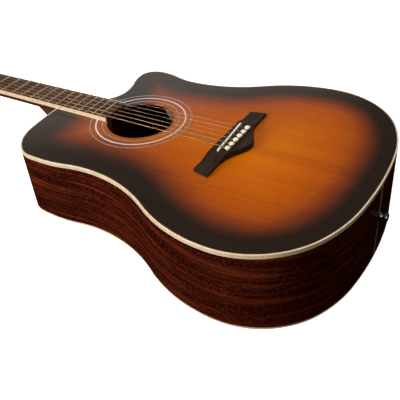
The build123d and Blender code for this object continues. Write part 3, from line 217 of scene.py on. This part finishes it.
def streaked(
        name, dark, mid, light, along, across, roughness, coat, coat_roughness, shine=0.2):
    """A dark open-pored wood; along and across are features per metre."""
    look = Finish(name, roughness, coat=coat, coat_roughness=coat_roughness, shine=shine)
    streaks = look.noise(along, detail=4.0, warp=0.4)
    # Painted sheen: broad ribbon bands make the colour lighter and darker along the grain; the
    # ribbon figure is the wood's own, its light and dark is painted.
    ribbon_sheen_noise = look.noise(tuple(a * 0.35 for a in along), detail=2.0, warp=0.8)
    pores = look.noise(across, detail=2.0, roughness=0.6)
    base = look.ramp(streaks, [(0.30, dark), (0.50, mid), (0.72, light)])
    sheen = look.ramp(ribbon_sheen_noise, [(0.30, 0.55), (0.50, 0.95), (0.72, 1.35)])
    base = look.mix(0.85, base, sheen, "MULTIPLY")
    flecks = look.noise(tuple(a * 0.8 for a in across), detail=1.0)
    base = look.mix(look.ramp(flecks, [(0.52, 0.0), (0.66, 0.65)]), base, light)
    holes = look.ramp(pores, [(0.36, 0.25), (0.46, 1.0)])
    look.colour(look.mix(0.75, base, holes, "MULTIPLY"))
    look.rough(pores, roughness + 0.1, roughness - 0.06)
    look.bump(holes, 0.00008, 0.6)
    return look.mat


def pale_wood(name, dark, light, roughness):
    """Unfinished light wood for the inside; inner_wood is given darker colours as painted shade.
    """
    look = Finish(name, roughness)
    lines = look.noise((6, 160, 160), detail=4.0, warp=0.3)
    broad = look.noise((9, 30, 30), detail=2.0)
    base = look.ramp(lines, [(0.32, dark), (0.66, light)])
    tone = look.ramp(broad, [(0.3, 0.82), (0.7, 1.06)])
    look.colour(look.mix(0.8, base, tone, "MULTIPLY"))
    look.rough(lines, roughness - 0.08, roughness + 0.08)
    look.bump(lines, 0.00008, 0.6)
    return look.mat


# ------------------------------------------------------------------ plastics, bone, metal
def moulded(name, dark, light, roughness, coat=0.0, cell=(90, 90, 90)):
    """Plastic, bone or celluloid: faint clouding, fine scuffs."""
    look = Finish(name, roughness, coat=coat, coat_roughness=0.08)
    cloud = look.noise(cell, detail=4.0, warp=0.6)
    scuffs = look.noise((700, 700, 700), detail=3.0)
    look.colour(look.ramp(cloud, [(0.30, dark), (0.70, light)]))
    look.rough(scuffs, roughness - 0.06, roughness + 0.10)
    look.bump(scuffs, 0.00001, 0.35)
    return look.mat


def metal(name, dark, light, roughness, cell=(500, 500, 500), metallic=1.0):
    """Bare or plated metal with faint uneven polish."""
    look = Finish(name, roughness, metallic=metallic)
    cloud = look.noise((60, 60, 60), detail=3.0)
    scratch = look.noise(cell, detail=3.0, roughness=0.65)
    look.colour(look.ramp(cloud, [(0.30, dark), (0.70, light)]))
    look.rough(scratch, max(roughness - 0.05, 0.04), roughness + 0.12)
    look.bump(scratch, 0.000006, 0.4)
    return look.mat


def wound(name, dark, light):
    """A wrapped string: tight turns of wire seen across its length."""
    look = Finish(name, 0.32, metallic=1.0)
    wave = look.add("ShaderNodeTexWave")
    wave.wave_type = "BANDS"
    wave.bands_direction = "X"
    look.join(look.coord, wave.inputs["Vector"])
    wave.inputs["Scale"].default_value = 420.0
    tarnish = look.noise((40, 200, 200), detail=3.0)
    base = look.ramp(tarnish, [(0.30, dark), (0.70, light)])
    # Painted shade: the colour darkens in the grooves between the turns of wire.
    groove_shade = look.ramp(wave.outputs["Fac"], [(0.0, 0.55), (0.55, 1.0)])
    look.colour(look.mix(0.8, base, groove_shade, "MULTIPLY"))
    look.rough(tarnish, 0.42, 0.24)
    look.bump(wave.outputs["Fac"], 0.00006, 0.8)
    return look.mat


SIDE_ALONG, SIDE_ACROSS = (9, 9, 170), (420, 420, 900)
BOARD_ALONG, BOARD_ACROSS = (12, 230, 230), (90, 1100, 1100)
finishes = {
    "spruce_top": spruce_top(),
    "rosewood": streaked(
        "rosewood", (0.020, 0.008, 0.004), (0.046, 0.020, 0.010), (0.100, 0.046, 0.022),
        BOARD_ALONG, BOARD_ACROSS, 0.60, 0.0, 0.3, shine=0.22),
    "bridge_rosewood": streaked(
        "bridge_rosewood",
        (0.008, 0.0038, 0.0020), (0.016, 0.0075, 0.0040), (0.034, 0.0160, 0.0085),
        (230, 12, 230), (1100, 90, 1100), 0.50, 0.06, 0.3, shine=0.18),
    "mahogany_body": streaked(
        "mahogany_body", (0.006, 0.0006, 0.0005), (0.024, 0.0023, 0.0010), (0.125, 0.0190, 0.0050),
        SIDE_ALONG, SIDE_ACROSS, 0.45, 0.3, 0.14, shine=0.05),
    "mahogany_neck": streaked(
        "mahogany_neck", (0.030, 0.008, 0.004), (0.075, 0.020, 0.010), (0.150, 0.045, 0.022),
        (10, 150, 150), (70, 800, 800), 0.45, 0.25, 0.25),
    "cream_binding": moulded(
        "cream_binding", (0.58, 0.42, 0.26), (0.70, 0.53, 0.34), 0.30, coat=0.5),
    "dark_purfling": moulded(
        "dark_purfling", (0.012, 0.009, 0.008), (0.022, 0.017, 0.015), 0.35, coat=0.3),
    "rosette_white": moulded(
        "rosette_white", (0.44, 0.43, 0.44), (0.56, 0.55, 0.57), 0.28, coat=0.5),
    "rosette_dark": moulded(
        "rosette_dark", (0.14, 0.115, 0.10), (0.20, 0.17, 0.15), 0.35, coat=0.4),
    # Painted shade: the raw inside wood is given dark colours, standing in for the dim light
    # inside the body.
    "inner_wood": pale_wood("inner_wood", (0.085, 0.046, 0.022), (0.165, 0.100, 0.052), 0.7),
    "maple_plate": pale_wood("maple_plate", (0.48, 0.32, 0.17), (0.66, 0.48, 0.29), 0.6),
    "bone": moulded(
        "bone", (0.66, 0.58, 0.44), (0.80, 0.73, 0.58), 0.35, coat=0.2, cell=(160, 500, 500)),
    "pin_plastic": moulded("pin_plastic", (0.64, 0.54, 0.38), (0.76, 0.67, 0.50), 0.25, coat=0.5),
    "fret_metal": metal("fret_metal", (0.60, 0.45, 0.31), (0.74, 0.58, 0.41), 0.30, metallic=0.6),
    "pearl_dots": moulded(
        "pearl_dots", (0.16, 0.15, 0.13), (0.34, 0.32, 0.29), 0.24,
        coat=0.3, cell=(420, 420, 900)),
    "dark_dots": moulded("dark_dots", (0.012, 0.010, 0.010), (0.025, 0.020, 0.020), 0.4),
    "rod_steel": metal("rod_steel", (0.30, 0.30, 0.31), (0.42, 0.42, 0.43), 0.38),
    "chrome_hardware": metal("chrome_hardware", (0.70, 0.71, 0.73), (0.82, 0.83, 0.85), 0.12),
    "plain_steel": metal(
        "plain_steel", (0.24, 0.20, 0.17), (0.32, 0.28, 0.24), 0.38, cell=(60, 900, 900)),
    "bronze_wound": wound("bronze_wound", (0.24, 0.13, 0.065), (0.38, 0.23, 0.12)),
}


# ------------------------------------------------------------------ CAD nodes and their copies
for name in ("Cube", "Light", "Camera"):
    if name in bpy.data.objects:
        bpy.data.objects.remove(bpy.data.objects[name])

slot_of = {}
for name, node in nodes.items():
    slot_of[name] = node.material_slots[0].material.name.split(".")[0]
    for entry in node.material_slots:
        entry.material = finishes[slot_of[name]]


def copy_of(name):
    """An editable, welded copy of a CAD node that stands for it."""
    mesh = nodes[name].data.copy()
    piece = bpy.data.objects.new(name + "_finished", mesh)
    bpy.context.scene.collection.objects.link(piece)
    if "custom_normal" in mesh.attributes:
        mesh.attributes.remove(mesh.attributes["custom_normal"])
    shape = bmesh.new()
    shape.from_mesh(mesh)
    bmesh.ops.remove_doubles(shape, verts=shape.verts, dist=WELD)
    return piece, shape


def stand_in(piece, shape, name):
    """Put the edited copy in its node's place."""
    shape.to_mesh(piece.data)
    shape.free()
    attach(piece, "guitar")
    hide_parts(name)


def eased(name, width):
    """The node with its sharp edges rounded by width."""
    piece, shape = copy_of(name)
    bmesh.ops.dissolve_limit(
        shape, angle_limit=math.radians(0.5), verts=shape.verts, edges=shape.edges)
    stand_in(piece, shape, name)
    bevel = piece.modifiers.new("eased_edges", "BEVEL")
    bevel.limit_method = "ANGLE"
    bevel.angle_limit = math.radians(50)
    bevel.width = width
    bevel.segments = 2
    bevel.use_clamp_overlap = True
    for face in piece.data.polygons:
        face.use_smooth = True
    bevel.harden_normals = True
    return piece


def cut_grid(shape, low, high):
    """Cut the mesh along X and Y planes, so its points can carry the sunburst."""
    for axis, normal in ((0, (1, 0, 0)), (1, (0, 1, 0))):
        place = low[axis] + CUT_CELL
        while place < high[axis]:
            cut = Vector((0, 0, 0))
            cut[axis] = place
            everything = shape.verts[:] + shape.edges[:] + shape.faces[:]
            bmesh.ops.bisect_plane(shape, geom=everything, plane_co=cut, plane_no=normal)
            place += CUT_CELL


def sunburst_board():
    """The soundboard, with each point's distance from the rim stored as edge_depth."""
    piece, shape = copy_of("soundboard")
    cut_grid(shape, *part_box("soundboard"))
    stand_in(piece, shape, "soundboard")
    rim = bmesh.new()
    rim.from_mesh(nodes["top_binding"].data)
    rim_tree = BVHTree.FromBMesh(rim)
    depth = piece.data.attributes.new("edge_depth", "FLOAT", "POINT")
    for vertex, value in zip(piece.data.vertices, depth.data):
        value.value = BINDING + rim_tree.find_nearest(vertex.co)[3]
    rim.free()


sunburst_board()
for name in ("top_binding", "back_binding"):
    eased(name, BINDING_EASE)
for name in ("bridge", "saddle", "nut", "fingerboard_binding"):
    eased(name, SMALL_EASE)
bridge = bpy.data.objects["bridge_finished"]
bridge.material_slots[0].material = finishes["bridge_rosewood"]

# ------------------------------------------------------------------ floor, light, camera
def lay_floor():
    """A pale glowing sheet that the guitar lies on, out of its reflections."""
    bpy.ops.mesh.primitive_plane_add(size=FLOOR_SIZE, location=(0, 0, -FLOOR_GAP))
    floor = bpy.context.object
    floor.name = "floor"
    paper = Finish("paper_floor", 0.9)
    paper.colour(paper.ramp(paper.noise((3, 3, 3)), [(0.3, 0.93), (0.7, 0.95)]))
    paper.bsdf.inputs["Emission Color"].default_value = (1, 1, 1, 1)
    paper.bsdf.inputs["Emission Strength"].default_value = FLOOR_GLOW
    floor.data.materials.append(paper.mat)
    floor.visible_glossy = False
    floor.visible_diffuse = False


def light_room():
    """A dim sky for the light, and a pale backdrop for the camera."""
    world = bpy.data.worlds.new("studio")
    world.use_nodes = True
    bpy.context.scene.world = world
    add = world.node_tree.nodes.new
    join = world.node_tree.links.new
    sky = world.node_tree.nodes["Background"]
    heading = add("ShaderNodeTexCoord")
    height = add("ShaderNodeSeparateXYZ")
    shade = add("ShaderNodeValToRGB")
    for stop, position, grey in zip(shade.color_ramp.elements, (0.0, 0.15), (0.02, 1)):
        stop.position = position
        stop.color = (grey, grey, grey, 1)
    join(heading.outputs["Generated"], height.inputs[0])
    join(height.outputs["Z"], shade.inputs["Fac"])
    join(shade.outputs["Color"], sky.inputs["Color"])
    sky.inputs["Strength"].default_value = SKY_STRENGTH
    # Seen directly, the room is a pale backdrop that meets the floor.
    backdrop = add("ShaderNodeBackground")
    backdrop.inputs["Color"].default_value = (BACKDROP_GREY, BACKDROP_GREY, BACKDROP_GREY, 1)
    seen = add("ShaderNodeLightPath")
    either = add("ShaderNodeMixShader")
    join(seen.outputs["Is Camera Ray"], either.inputs["Fac"])
    join(sky.outputs["Background"], either.inputs[1])
    join(backdrop.outputs["Background"], either.inputs[2])
    room = world.node_tree.nodes["World Output"]
    join(either.outputs["Shader"], room.inputs["Surface"])


def softbox(name, place, aim, width, height, watts, tint=(1, 1, 1)):
    """A large area light at place, facing aim."""
    data = bpy.data.lights.new(name, "AREA")
    data.shape = "RECTANGLE"
    data.size, data.size_y = width, height
    data.energy = watts
    data.color = tint
    lamp = bpy.data.objects.new(name, data)
    lamp.location = place
    lamp.rotation_mode = "QUATERNION"
    lamp.rotation_quaternion = (Vector(aim) - Vector(place)).to_track_quat("-Z", "Y")
    bpy.context.scene.collection.objects.link(lamp)
    return lamp


lay_floor()
light_room()
overhead = softbox("overhead", (0.15, 0.1, 2.0), (0.1, 0, 0.1), 1.6, 1.6, 31)
overhead.visible_glossy = False
softbox("haze", (-1.15, 1.5, 0.74), (0.05, 0, 0.1), 2.2, 0.6, 4.4, (1, 0.90, 0.84))
softbox("glint", (1.5, -0.7, 0.9), (0.36, 0, 0.07), 0.35, 0.35, 3)
softbox("side_fill", (-0.9, -1.7, 0.8), (0.05, -0.1, 0.05), 1.0, 0.8, 62)

camera_data = bpy.data.cameras.new("camera")
camera_data.lens = 54.407
camera_data.sensor_width = 36
camera = bpy.data.objects.new("camera", camera_data)
camera.location = (0.47999, -0.59859, 0.56758)
camera.rotation_euler = [math.radians(a) for a in (50.9340, 1.92955, 31.0674)]
bpy.context.scene.collection.objects.link(camera)
bpy.context.scene.camera = camera
bpy.context.scene.view_settings.view_transform = "Standard"
